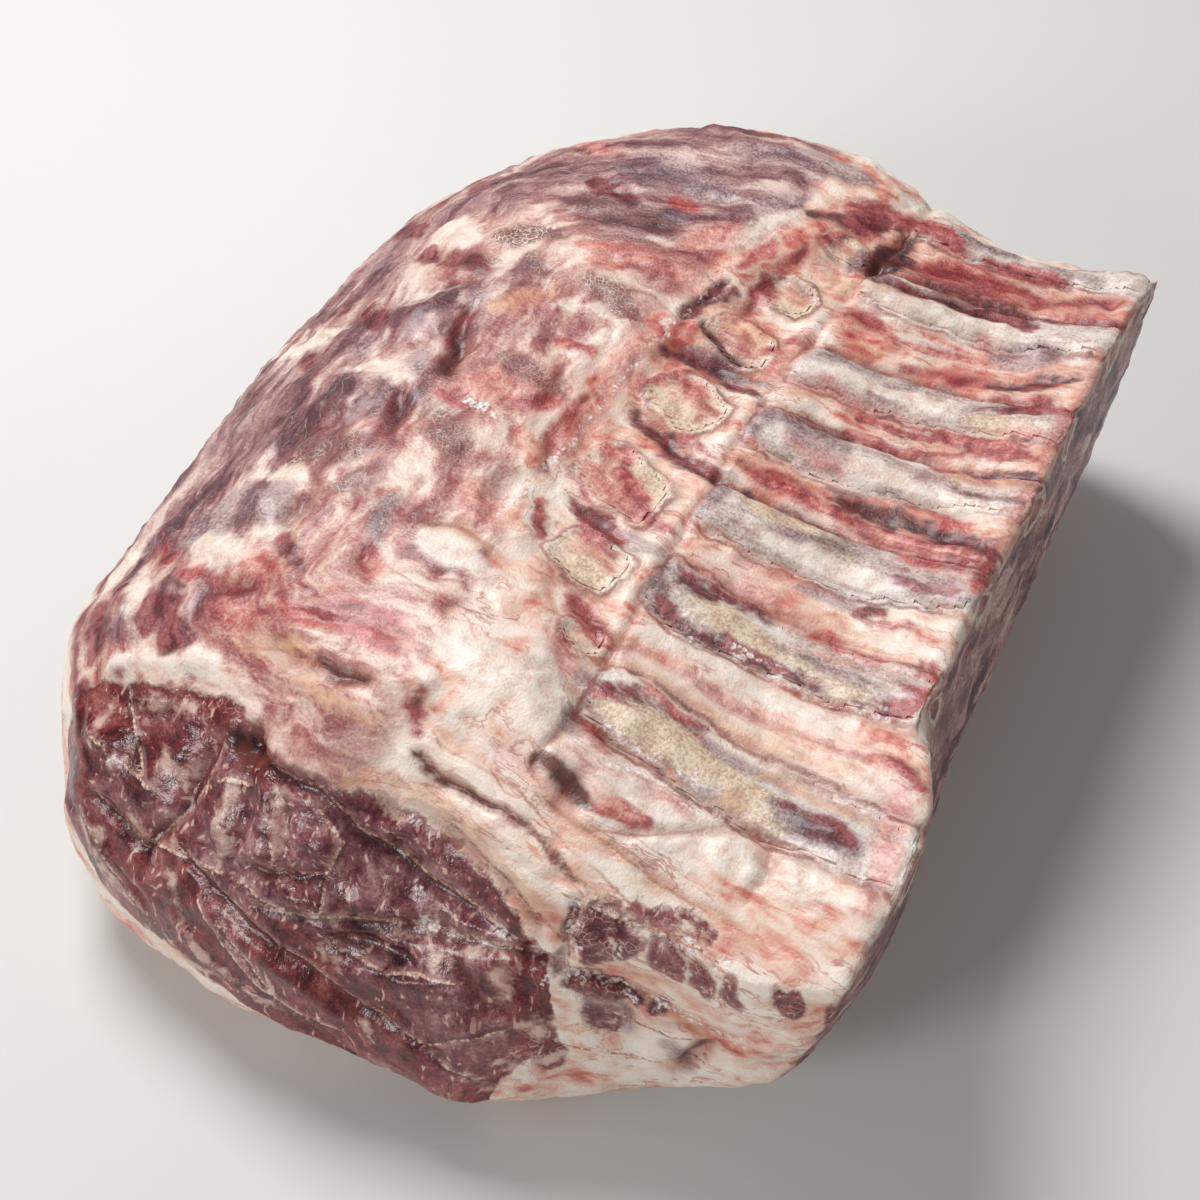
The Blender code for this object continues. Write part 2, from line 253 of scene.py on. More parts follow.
# The look of each place: how far inside a kind of tissue, or of painted shade, it lies. Bright muscle runs out
# between the ribs; dark, aged muscle lies along the chine and at the loin end.
RED = ((44, 18, 62, 19, 80, 17, 2.4), (80, 17, 104, 15, 128, 15, 4.2), (93, 66, 112, 67, 131, 67, 4.4),
       (70, 52, 85, 54, 98, 58, 108, 64, 2.0), (101, 53, 109, 52, 2.6), (46, 100, 54, 104, 68, 99, 3.0),
       (76, 91, 90, 96, 102, 102, 2.4), (110, 93, 124, 96, 136, 92, 3.6), (60, 140, 82, 147, 104, 146, 6.0), (28, 150, 46, 157, 62, 160, 5.0), (84, 155, 112, 158, 3.0),
       (112, 150, 132, 155, 3.4), (118, 140, 135, 141, 4.2), (133, 4, 135, 15, 3.6), (108, 20, 126, 20, 1.6),
       (128, -70, 138, -70, 147, -76, 3.2), (128, -33, 137, -35, 2.6), (126, -41, 137, -43, 2.6),
       (128, -53, 134, -47, 3.2), (58, -33, 80, -31, 1.6), (45, -93, 50, -100, 58, -103, 86, -105, 2.8), (46, -90, 50, -84, 62, -82, 80, -84, 2.0),
       (60, 121, 84, 130, 104, 136, 2.4), (64, 98, 84, 106, 100, 110, 1.6), (46, 20, 60, 22, 74, 24, 2.0), (70, 60, 88, 62, 100, 66, 2.4),
       (116, 86, 128, 90, 135, 96, 2.4), (24, 62, 36, 61, 1.8), (4, 38, 12, 52, 1.6), (30, 70, 38, 82, 2.4), (20, 20, 36, 16, 1.8),
       (-4, -30, 2, -44, 1.8), (12, -54, 26, -56, 1.8), (8, 100, 14, 116, 2.6), (26, 128, 36, 138, 3.0), (-40, -104, -22, -98, 2.6),
       (-56, -104, -40, -112, 2.4), (-98, -100, -78, -104, 2.4), (-118, -84, -108, -96, 3.0),
       (24, -60, 30, -65, 37, -70, 4.6), (12, -33, 25, -37, 3.0), (9, 5, 12, -4, 24, -14, 36, -20, 3.6),
       (2, 5, 5, -6, 2.0), (10, 45, 18, 40, 27, 33, 2.2), (0, 31, 5, 40, 1.8), (14, 71, 34, 63, 1.8),
       (23, 106, 35, 104, 2.2), (16, 84, 18, 98, 24, 122, 2.8), (34, 144, 43, 146, 3.2),
       (-12, 16, -13, -6, -8, -18, 1.8), (-30, 0, -18, 9, 4.0), (-60, -6, -42, -9, 2.6), (-42, -78, -33, -87, 2.8),
       (-84, -106, -68, -104, 3.0), (-60, -112, -32, -107, -10, -109, 2.8), (-28, -98, -12, -104, 2.2),
       (64, -123, 78, -122, 1.8), (-72, -92, -60, -97, 2.2), (-36, 37, -20, 35, 2.0), (-28, 120, -20, 116, 4.0),
       (107, 8, 130, 9, 1.8), (104, -19, 124, -20, 1.4), (57, 157, 74, 155, 4.0), (2, -118, 6, -128, 2.6),
       (-40, 76, -12, 83, 1.0), (-48, 82, -20, 90, 1.0), (-34, 88, 0, 97, 1.2))
# Deep red muscle between the ribs and along the chine. The marks at (-66, 32) and (-68, -12), beside the back muscle's
# arch folds, are painted shadow.
DEEP = ((18, 136, 34, 146, 48, 152, 3.6), (76, 24, 96, 26, 114, 24, 134, 21, 4.2), (112, 55, 133, 59, 3.2), (103, 99, 115, 103, 130, 112, 3.4),
        (50, 122, 76, 128, 100, 133, 109, 131, 2.8), (48, 126, 54, 148, 8.0), (58, 134, 90, 138, 126, 137, 3.0),
        (112, 84, 121, 90, 3.4), (103, 80, 112, 84, 124, 86, 1.6), (49, -35, 59, -37, 4.2), (49, -84, 59, -86, 3.4),
        (47, -42, 50, -49, 62, -51, 96, -52, 128, -54, 2.2), (48, -40, 50, -35, 60, -33, 78, -33, 1.6), (4, -22, 12, -26, 23, -32, 3.0), (3, 24, 14, 17, 27, 12, 38, 8, 3.2),
        (2, 54, 20, 56, 36, 50, 3.8), (0, 68, 4, 90, 3.8), (4, 78, 9, 88, 3.0), (116, -99, 124, -101, 132, -102, 3.4),
        (109, -96, 115, -97, 1.8), (102, -17, 108, -15, 3.0), (50, 9, 56, 10, 2.4), (107, -1, 118, -4, 126, -2, 2.2),
        (-84, 62, -74, 57, 4.0), (-118, 3, -110, -3, 3.0), (-106, 68, -99, 62, 4.0), (-112, 122, -104, 114, 6.0),
        (-66, 32, -62, 16, -57, 2, 3.0), (-68, -12, -61, -28, 3.4), (-106, 28, -96, 20, 6.4), (-30, -121, -16, -122, 3.2),
        (-90, -123, -80, -126, 4.6), (-100, -112, -94, -122, 6.0), (-68, -84, -57, -92, 3.4), (-60, 119, -42, 112, 5.4),
        (48, 46, 70, 48, 2.4), (-140, -46, -132, -58, 5.0), (-132, 96, -120, 84, 6.0), (-124, -116, -112, -132, 5.0),
        (-112, -144, -106, -148, 4.0), (-138, 38, -126, 30, 5.0), (104, 44, 120, 42, 134, 43, 1.3))
DUSK = ((-92, -66, -80, -74, 9.0), (-110, -77, -92, -80, 5.0), (-46, -58, -40, -76, 4.4), (43, 8, 45, -8, 3.6),
        (55, 12, 76, 9, 96, 7, 104, 3, 1.6), (43, 31, 44, 44, 3.6), (50, 43, 72, 42, 4.0), (48, 77, 70, 84, 3.6),
        (76, 79, 84, 86, 3.0), (84, -42, 106, -43, 132, -50, 2.0), (58, -83, 80, -85, 110, -89, 1.9),
        (43, -85, 45, -104, 2.6), (43, -36, 46, -50, 3.6), (103, 114, 121, 119, 5.0), (108, -98, 134, -103, 5.4),
        (84, -15, 100, -14, 2.6), (24, -28, 38, -30, 2.6), (30, 12, 44, 6, 2.6), (6, 58, 36, 56, 5.0),
        (-50, 138, -12, 130, 7.0), (-20, 160, 30, 166, 6.0), (-60, 132, -40, 126, 4.0), (85, 87, 96, 88, 2.4),
        (40, 124, 44, 134, 4.0), (118, 2, 132, -3, 2.4), (60, 160, 90, 163, 3.0), (104, 164, 120, 163, 2.0),
        (-100, -70, -108, -92, 4.0), (-4, 128, 12, 140, 5.0), (-104, 16, -94, 4, 4.0), (92, 33, 116, 31, 2.0),
        (66, -3, 96, 3, 3.0), (-72, 8, -66, -4, 3.0), (-70, 44, -62, 34, 2.6))
TAN = ((52, -91, 74, -92, 92, -94, 9.0), (90, -95, 112, -101, 6.4), (58, -42, 90, -45, 6.2), (94, -47, 126, -50, 4.4),
       (14, -45, 27, -50, 5.0), (24, 94, 35, 92, 4.0), (104, 76, 127, 77, 4.4), (54, 5, 92, 3, 5.0),
       (14, 2, 28, -6, 4.4), (6, 32, 24, 24, 4.4), (36, 118, 44, 112, 2.6))
WHITE = ((120, -112, 132, -122, 5.0), (70, -74, 120, -78, 4.0), (60, -72, 90, -72, 3.0), (52, -113, 84, -118, 114, -118, 9.0), (-24, 30, -20, 44, 3.0),
         (-98, -87, -84, -94, 8.4), (-84, -83, -72, -80, 2.4), (-26, -65, -6, -70, 8.4), (6, -98, 34, -104, 10.0),
         (54, 110, 80, 117, 101, 124, 6.8), (60, 72, 98, 79, 5.4), (76, 40, 104, 37, 130, 33, 5.4),
         (60, -6, 104, -5, 3.8), (95, -115, 113, -121, 7.4), (-100, -138, -84, -133, -66, -128, 3.4), (-96, -143, -88, -143, 4.4),
         (-104, 84, -88, 71, 7.4), (-4, 62, 1, 78, 4.2), (-2, 110, 14, 134, 4.4), (50, -58, 80, -59, 118, -60, 5.0), (50, -76, 84, -79, 122, -84, 4.4),
         (44, 112, 30, 122, 3.4), (-4, -108, 6, -116, 3.6), (10, -122, 32, -124, 4.0), (-116, -100, -108, -118, 5.0),
         (-88, 38, -78, 44, -70, 36, 2.4), (-92, -6, -80, -2, -70, -8, 4.0), (70, 104, 96, 108, 3.0),
         (48, 54, 66, 50, 3.0), (112, 47, 134, 49, 2.6), (-22, 54, -40, 50, 4.0), (44, 156, 48, 176, 3.4),
         (-124, -92, -134, -110, 4.0), (-96, -58, -86, -55, -78, -58, 2.2), (-130, 10, -112, 20, 4.0), (122, 122, 133, 120, 3.6))
PINK = ((44, -67, 62, -66, 82, -69, 110, -70, 128, -70, 1.9), (46, 62, 90, 67, 3.4), (60, -17, 84, -15, 2.2),
        (46, -28, 90, -27, 2.4), (134, 20, 135, 120, 3.6), (-76, -91, -64, -100, 4.0), (-40, -100, -12, -106, 5.0),
        (-10, -18, -7, 52, 4.4), (28, -77, 36, -88, 4.0), (0, -8, 8, -20, 4.0), (98, -37, 126, -38, 2.0),
        (44, 18, 80, 19, 4.4), (4, -12, 24, -20, 5.0), (14, 76, 30, 79, 5.4), (107, 8, 131, 9, 4.4), (36, 62, 41, 84, 3.6),
        (110, 50, 134, 53, 3.4), (86, -110, 50, -112, 2.0), (88, -31, 66, -22, 2.0), (-52, -4, -28, 14, 7.0),
        (-14, 100, -2, 118, 5.0), (116, 141, 135, 143, 5.0), (56, 36, 74, 34, 3.0), (-82, 146, -68, 142, 5.0),
        (-36, 82, -8, 88, 6.0), (-24, -40, -10, -50, 5.0), (118, 74, 134, 78, 3.0), (96, 116, 120, 110, 2.0),
        (-80, -112, -58, -116, 6.0), (30, -122, 60, -130, 2.0), (140, -80, 147, -120, 3.0), (70, 148, 128, 146, 4.0))
OCHRE = ((-26, -60, -18, -56, -9, -60, -5, -62, 1.6), (50, -129, 66, -131, 86, -134, 122, -138, 1.4),
         (80, -134, 90, -135, 2.2), (10, -132, 58, -140, 1.4), (50, -74, 90, -77, 132, -80, 2.6), (96, -103, 99, -103, 3.0),
         (94, -25, 112, -27, 2.0), (15, 75, 28, 77, 4.4), (110, 49, 135, 51, 2.6), (-60, -123, -40, -120, -18, -125, 2.0),
         (-9, -24, -8, -24, 1.8), (-12, -104, -9, -111, 1.6), (56, 92, 66, 90, 2.0), (36, 118, 44, 112, 3.0),
         (50, 118, 62, 120, 2.0), (-60, 38, -46, 52, 5.0), (-36, -128, -8, -133, 2.0), (100, -88, 140, -92, 2.0))
IMPRINT = ((-50, -16, -36, -30, 7.4), (-43, 18, -23, 12, 5.4), (-36, 66, -24, 62, -14, 58, 6.4), (-62, 68, -53, 61, 4.4),
           (-78, 74, -62, 84, 7.4), (-88, 60, -72, 62, 4.0), (-44, 104, -20, 101, 4.6), (-86, -48, -62, -38, 8.4),
           (-62, 6, -54, 0, 4.4), (-64, 102, -50, 104, 5.0), (-72, -24, -64, -16, 4.4), (-64, -60, -56, -46, 4.4))
# Black: dark red-brown marks laid in the pits and pressed creases of the relief, deepened as painted shade.
BLACK = ((46, -138, 60, -141, 74, -148, 0.8), (-100, -104, -92, -108, 1.2),
         (44, -119, 61, -123, 3.4), (7, 69, 14, 65, 25, 61, 1.9), (2, -119, 3, -121, 1.6), (9, -135, 26, -136, 46, -138, 1.0),
         (50, 132, 54, 146, 3.4), (42, -120, 43, -124, 2.0), (-50, -146, -36, -150, 3.0), (-30, -61, -26, -58, 0.8))
FROTH = ((52, -53, 90, -55, 115, -55, 131, -56, 0.7), (46, -107, 80, -109, 128, -108, 0.7), (50, -99, 66, -101, 84, -103, 0.4),
         (84, -98, 86, -106, 1.0), (44, -110, 43, -116, 0.8), (-45, -6, -31, -9, 2.2), (41, -80, 41, -96, 0.5),
         (2, 92, -2, 60, -5, 30, -8, -5, -12, -40, -10, -60, 0.35), (56, -50, 100, -51, 0.3))

# The shoulder-end cut, as (x, z): one large muscle, small ones beside it, and the seams between them.
LEAN_TOP = ((-118, 84), (-104, 94), (-80, 102), (-62, 107), (-40, 106), (-20, 108), (4, 108), (30, 99), (50, 92),
            (62, 85), (67, 76), (72, 60))
LEAN_FOOT = ((-118, 70), (-104, 50), (-90, 36), (-70, 31), (-54, 36), (-46, 34), (-34, 27), (-10, 17), (20, 8),
             (50, 8), (58, 30), (68, 46))
cut_u, cut_v = wander[:, 0], wander[:, 2]
big_lean = np.minimum.reduce([line(LEAN_TOP, cut_u) - cut_v, cut_v - line(LEAN_FOOT, cut_u), cut_u + 116, 72 - cut_u])
big_lean = np.clip(big_lean, -FAR, FAR) - 2 * FAR * (1 - on_cut)
# The loin-end cut, as (x, z), is finished like it.
BACK_TOP = ((-104, 66), (-84, 84), (-56, 96), (-20, 98), (14, 88), (44, 76), (62, 62))
BACK_FOOT = ((-104, 56), (-84, 38), (-50, 26), (-10, 20), (30, 18), (52, 26), (62, 40))
on_back = ease((facing[:, 1] - 0.35) / 0.25)
back_lean = np.minimum.reduce([line(BACK_TOP, cut_u) - cut_v, cut_v - line(BACK_FOOT, cut_u), cut_u + 102, 62 - cut_u])
back_lean = np.clip(back_lean, -FAR, FAR) - 2 * FAR * (1 - on_back)
LOBES = ((73, 92, 85, 91, 10.6), (97, 95, 101, 86, 6.0), (108, 91, 112, 83, 4.6), (86, 101, 108, 99, 2.6), (75, 75, 92, 71, 5.0),
         (80, 64, 88, 56, 4.0), (99, 73, 98, 66, 2.8), (119, 92, 122, 84, 3.8), (134, 96, 137, 86, 3.8), (148, 96, 149, 80, 1.6),
         (-70, 101, -50, 106, 4.0), (68, 52, 72, 40, 5.0))
CUT_FAT = ((-10, 73, 10, 76, 34, 78, 60, 81, 0.8), (-72, 88, -60, 89, 2.6), (-79, 66, -72, 68, 3.0), (-44, 91, -41, 76, 2.4), (-26, 99, -22, 86, 3.0),
           (-92, 82, -84, 81, 1.6), (-66, 101, -86, 96, 1.6), (52, 78, 56, 68, 2.0), (-96, 92, -98, 82, 1.4), (4, 108, 11, 102, 1.6),
           (-58, 62, -50, 50, -42, 43, -28, 37, -10, 30, 1.5), (-90, 60, -86, 48, -72, 42, 2.0), (62, 96, 66, 82, 1.6),
           (32, 71, 44, 78, 1.6), (-2, 66, 6, 60, 0.9), (16, 44, 20, 36, 1.2), (-64, 76, -58, 70, 1.2), (66, 62, 69, 54, 1.4), (74, 44, 64, 40, 56, 44, 1.8), (73, 60, 62, 57, 1.3),
           (66, 30, 56, 30, 48, 36, 1.6), (60, 18, 48, 18, 40, 24, 1.4), (-60, 38, -48, 34, -36, 36, 1.5), (-100, 58, -92, 54, 1.6))
SEAMS = ((-52, 98, -54, 88, -62, 76, -70, 64), (-53, 88, -46, 93, -38, 95),
         (-38, 102, -14, 106, 2, 97, 26, 90, 45, 86, 66, 82), (-70, 66, -52, 71, -30, 74, -10, 72),
         (-56, 72, -30, 66, -10, 61, 6, 54, 20, 48, 37, 43, 52, 34), (-24, 70, -8, 74, 10, 76, 34, 78, 46, 81, 66, 81, 90, 74, 118, 66),
         (-30, 80, -16, 84, -4, 86, -3, 94, -12, 100), (-4, 86, -3, 76), (-100, 84, -86, 82, -70, 80), (-90, 96, -84, 90, -76, 82),
         (-92, 70, -80, 66, -66, 62), (-26, 90, -19, 80), (60, 56, 44, 50, 36, 43), (-46, 62, -20, 40, 6, 34),
         (-98, 62, -84, 52, -70, 40), (0, 66, 20, 64, 40, 68), (72, 98, 70, 88, 72, 78), (24, 104, 44, 97, 64, 90, 72, 84),
         (66, 100, 90, 98, 112, 96), (88, 62, 104, 56, 118, 60), (76, 48, 100, 42, 112, 46), (-36, 60, -24, 50, -16, 40))
CUT_FROTH = ((22, 77, 46, 80, 0.7), (60, 82, 72, 77, 90, 75, 104, 71, 0.9), (70, 100, 69, 90, 71, 78, 0.8), (84, 92, 88, 78, 0.6),
             (86, 76, 92, 68, 1.0), (-94, 84, -88, 81, 0.8), (12, 103, 16, 101, 0.8), (96, 74, 100, 68, 0.6), (104, 96, 118, 92, 0.5),
             (48, 84, 56, 84, 0.8), (21, 87, 25, 86, 0.9), (110, 84, 114, 78, 0.6), (58, 83, 76, 78, 1.9), (66, 74, 72, 85, 1.4),
             (72, 71, 79, 65, 1.2), (90, 75, 118, 67, 134, 72, 0.9), (112, 96, 116, 98, 1.2), (102, 96, 108, 94, 1.2))
CUT_OCHRE = ((-8, 110, 20, 107, 46, 100, 66, 92, 2.2), (14, 102, 40, 98, 62, 90, 1.6), (66, 106, 90, 104, 118, 102, 2.0), (74, 80, 96, 80, 116, 76, 1.4),
             (104, 68, 112, 62, 3.4), (104, 44, 106, 36, 3.0), (-58, 100, -54, 88, -70, 64, 2.4), (-94, 58, -90, 52, 3.4),
             (112, 60, 116, 52, 2.0), (-20, 104, 0, 99, 2.4), (-84, 40, -60, 36, 2.0), (128, 88, 140, 94, 1.6), (102, 88, 116, 74, 1.2))
# Dark marks in the pits and creases of the cut, deepened as painted shade.
CUT_BLACK = ((-50, 101, -40, 102, 2.6), (-30, 80, -22, 80, -16, 84, 1.0), (-71, 66, -67, 63, 1.8), (10, 71, 14, 69, 1.4),
             (68, 84, 69, 78, 0.9), (-54, 94, -56, 88, 1.0), (108, 46, 116, 56, 1.2))
CUT_DUSK = ((-44, 70, -10, 66, 6.0), (30, 56, 60, 56, 7.0), (0, 88, 30, 78, 5.0), (-90, 74, -74, 76, 6.0), (-60, 60, -40, 56, 5.0),
            (80, 68, 92, 58, 4.0), (-30, 92, -8, 96, 5.0), (104, 52, 110, 40, 2.6))

# Thin lines: dark blood along the ribs' edges and creases of the skin, each ending with a zero.
THREADS = ((45, -108, 70, -109, 100, -108, 130, -108), (66, -130, 80, -125, 90, -117, 98, -110, 108, -107),
           (108, -107, 113, -112, 116, -122, 110, -128), (50, -129, 66, -131, 85, -134, 120, -137),
           (102, 73, 116, 75, 130, 74), (104, 79, 118, 82, 128, 79), (-12, 15, -14, -8, -8, -18), (-30, 88, -12, 92, 0, 96),
           (-40, 76, -24, 80, -10, 82), (-48, 81, -34, 86, -28, 84), (-60, -123, -40, -120, -18, -125), (-84, 40, -74, 44, -66, 32),
           (46, 62, 70, 64, 92, 67), (8, -134, 25, -136, 46, -138, 60, -142, 76, -150), (10, -128, 40, -130, 60, -137, 90, -144, 120, -148),
           (50, 18, 74, 20, 100, 12), (92, -72, 120, -70, 142, -73), (60, 137, 90, 142, 128, 141), (70, 152, 100, 155, 130, 160),
           (50, -12, 80, -18, 110, -17), (-26, -60, -18, -56, -9, -60, -5, -64), (0, -60, -8, -64, -10, -76), (-30, -82, -6, -86, 10, -84))
thread_at, thread_near = traced(THREADS)
seam_at, seam_near = traced(SEAMS, "cut")

# How dark and purple the membrane is, and how grey the lean of the cut is.
AGED = ((-118, -60, 26, 0.9), (-100, -76, 18, 0.9), (-96, -118, 18, 0.9), (-130, 0, 22, 0.8), (-128, 60, 26, 0.8), (-72, 28, 16, 0.7),
        (-96, 20, 18, 0.5), (-78, -16, 16, 0.7), (-60, 118, 20, 0.6), (-100, 116, 24, 0.8), (-30, 132, 28, 0.8), (10, 158, 26, 0.6),
        (-40, 150, 30, 0.6), (-90, 72, 15, -0.9), (-40, 54, 16, -0.4), (-22, 20, 14, -0.5), (-52, -36, 18, -0.3), (-30, -10, 14, -0.5),
        (-64, -96, 22, -0.6), (-20, -98, 24, -0.8), (-100, -90, 12, -0.5), (-110, -30, 20, 0.7), (-48, 96, 16, 0.3), (-70, 60, 14, 0.3))
FLUSH = ((20, -10, 24, 0.6), (16, 42, 24, 0.6), (18, 90, 24, 0.7), (24, -66, 14, 0.4), (112, 20, 18, 0.8), (112, 58, 18, 0.8),
         (100, 96, 20, 0.9), (70, 140, 26, 0.9), (120, 140, 24, 0.9), (62, 62, 14, 0.5), (60, 22, 14, 0.5), (60, 98, 14, 0.7), (134, -60, 14, 0.4),
         (-10, 10, 16, 0.6), (-30, -10, 22, 0.7), (-44, -100, 26, 0.8), (-4, 118, 20, 0.6), (100, -60, 18, -0.3), (90, -130, 32, -1.5), (60, -118, 22, -1.0),
         (10, -100, 24, 0.1), (-14, -68, 14, -0.2), (60, -75, 20, -0.2), (34, 130, 16, 0.6))
CUT_AGED = ((-6, 92, 22, 0.9), (26, 82, 18, 0.8), (-44, 82, 18, 0.6), (-84, 72, 16, 0.5), (44, 56, 16, 0.7), (84, 92, 14, 0.8), (86, 64, 10, 0.8),
            (-10, 44, 26, -0.4), (-84, 56, 12, -0.4), (-30, 68, 14, 0.5), (14, 62, 12, 0.4), (-70, 98, 12, 0.3))
aged = 0.32 - 0.18 * on_cut + (1 - on_cut) * spots(AGED) + on_cut * spots(CUT_AGED, "cut") + 0.30 * lumps(22, 2, 31)

# The ways the tissue runs: with the ribs on the plate, and round the roast's own outline on the back muscle.
share = (X - saw_x) / 90
tracks = np.stack([rib.root_y + (rib.tip_y - rib.root_y) * share for rib in ribs], 1)
roots = np.array([rib.root_y for rib in ribs])
fan = np.empty(len(place))
for i, track in enumerate(tracks):
    fan[i] = np.interp(Y[i], track, roots)
fan += np.where(Y < tracks[:, 0], Y - tracks[:, 0], 0) + np.where(Y > tracks[:, -1], Y - tracks[:, -1], 0)
bend = np.stack([lumps(38, 1, 41), lumps(38, 1, 42), lumps(38, 1, 43)], 1) * (1, 1, 1)
curl = np.stack([lumps(9, 2, 44), lumps(9, 2, 45), lumps(9, 2, 46)], 1) * (1, 1, 1)
ribwise = np.stack([X, fan, Z], 1) + 4.0 * bend + 1.6 * curl
swirl = place + 7.0 * bend + 2.4 * curl
outline = place[convex_hull_2d([tuple(point) for point in place[:, :2]])][:, :2]
inset = inside_of(outline, place[:, :2])
turned = np.arctan2(Y + 10, 40 - X)
backwise = np.stack([turned * 140, inset, Z], 1) + 8.0 * bend + 2.6 * curl

tissue = {
    "plate": ease((past_ridge + 3) / 6),
    "membrane": np.clip(-past_ridge - 16 - 10 * ease((-Y - 55) / 25) * ease((X + 60) / 30) + 6 * lumps(30, 2, 11), -FAR, FAR),
    "coarse": 0.5 + 0.22 * lumps(20, 3, 51), "flush": np.clip(spots(FLUSH) * (1 - on_cut) + 0.2 * lumps(24, 2, 52), -1.4, 1),
    "aged": np.clip(aged, 0, 1), "flank": ease((facing[:, 0] - 0.55) / 0.25) * (1 - on_top),
    "bone": either(*(b.inside - 1.0 for b in ribs + chines)) - 2 * FAR * (1 - on_top),
    "white": either(strokes(WHITE)), "tan": either(strokes(TAN)), "pink": either(strokes(PINK)),
    "dusk": either(strokes(DUSK), strokes(CUT_DUSK, "cut")), "imprint": either(strokes(IMPRINT)),
    "ochre": either(strokes(OCHRE), strokes(CUT_OCHRE, "cut")),
    "red": either(strokes(RED)), "deep": either(strokes(DEEP)),
    "lean": either(big_lean, back_lean, strokes(LOBES, "cut")), "lobe": ease(strokes(LOBES, "cut") / 2), "fleck": either(strokes(CUT_FAT, "cut")),
    "seam": seam_near, "seam_at": seam_at, "thread": thread_near, "thread_at": thread_at,
    "froth": either(strokes(FROTH), strokes(CUT_FROTH, "cut")),
    "black": either(strokes(BLACK), strokes(CUT_BLACK, "cut")),
}
rim = np.clip(cut_v - line(LEAN_TOP, cut_u) + 4, -FAR, FAR)
tips = np.full(len(place), -1.0)
for rib in ribs:
    tip_z = rib.high[2] - 10
    tips = np.maximum(tips, 1 - np.hypot((wander[:, 1] - rib.tip_y) / (rib.half * 0.9), (wander[:, 2] - tip_z) / 7.5))
tissue["tip"] = np.clip(tips * 7.5, -FAR, FAR) - 2 * FAR * (1 - tissue["flank"])
tissue["edge"] = either(*(b.inside for b in ribs + chines)) - 2 * FAR * (1 - on_top)
tissue["core"] = either(*(b.inside for b in chines)) - 2 * FAR * (1 - on_top)
tissue["membrane"] = np.minimum(tissue["membrane"], rim + 3 * FAR * (1 - on_cut))
tissue["membrane"] = np.minimum(tissue["membrane"], 3 * FAR * (1 - on_back) - FAR)

# The relief of the skin, in millimetres, outwards. Marks that raise or press it end with that amount.
FOLDS = ((-82, 20, -78, 32, 13, 3.0), (-66, 34, -62, 18, -56, 4, 5.0, -3.2), (-84, -24, -80, -10, 12, 2.4),
         (-67, -10, -60, -30, 4.5, -2.6), (-88, -68, -82, -74, 9, 3.0), (-73, -64, -70, -80, 4.0, -2.2), (-22, -64, -8, -70, 10, 2.2),
         (10, -96, 34, -104, 14, 2.4), (-30, -58, -18, -55, -6, -60, 3.0, -1.6), (53, -122, 58, -123, 7, -2.6), (-4, -108, 4, -116, 5, 1.8),
         (98, -113, 110, -120, 9, 1.6), (66, -130, 82, -124, 98, -111, 109, -107, 2.4, -1.4), (109, -107, 116, -116, 113, -128, 2.4, -1.2),
         (9, -135, 26, -136, 50, -139, 2.6, -2.6), (8, -140, 30, -141, 60, -144, 3.0, 1.2), (52, -130, 120, -137, 2.0, -1.0), (7, 69, 25, 61, 3.4, -2.2),
         (48, 128, 54, 148, 8, -3.0), (52, 122, 78, 128, 108, 132, 3.0, -1.8), (56, 112, 98, 122, 8, 1.4), (60, 140, 130, 154, 5, -1.2),
         (76, 24, 134, 21, 4, -1.4), (80, 17, 130, 15, 3.6, 0.8), (112, 55, 133, 59, 3.4, -1.2), (103, 99, 130, 111, 3.4, -1.4),
         (-104, 84, -88, 71, 8, 2.0), (-106, 66, -84, 60, 5, -1.8), (-98, -88, -84, -92, 9, 2.2), (-82, -106, -60, -100, 4, -1.8),
         (-100, -138, -66, -128, 4, 1.8), (-30, -121, -14, -122, 4, -2.4), (-60, -118, -38, -114, 4, 1.6), (-90, -120, -100, -114, 6, -1.4),
         (-42, -78, -33, -88, 4, -1.6), (-46, -58, -40, -76, 4, 1.6), (4, -22, 23, -32, 3.4, -1.8), (3, 24, 38, 8, 3.4, -1.8), (2, 56, 36, 52, 5, -1.8),
         (24, -60, 37, -70, 4.6, -1.2), (0, 68, 6, 90, 4, -1.6), (16, 84, 24, 122, 3, -1.2), (-12, 16, -13, -6, -8, -18, 3, -1.2),
         (-60, 119, -42, 112, 6, -1.2), (-50, 90, -20, 84, 8, 1.0), (-112, 24, -98, 22, 7, -1.4), (-120, -80, -108, -100, 6, 1.4),
         (116, -99, 132, -102, 4, 0.9), (44, -67, 82, -69, 128, -70, 2.0, -0.8), (40, -80, 41, -96, 2.0, -1.2), (84, 78, 104, 76, 3, 1.0))
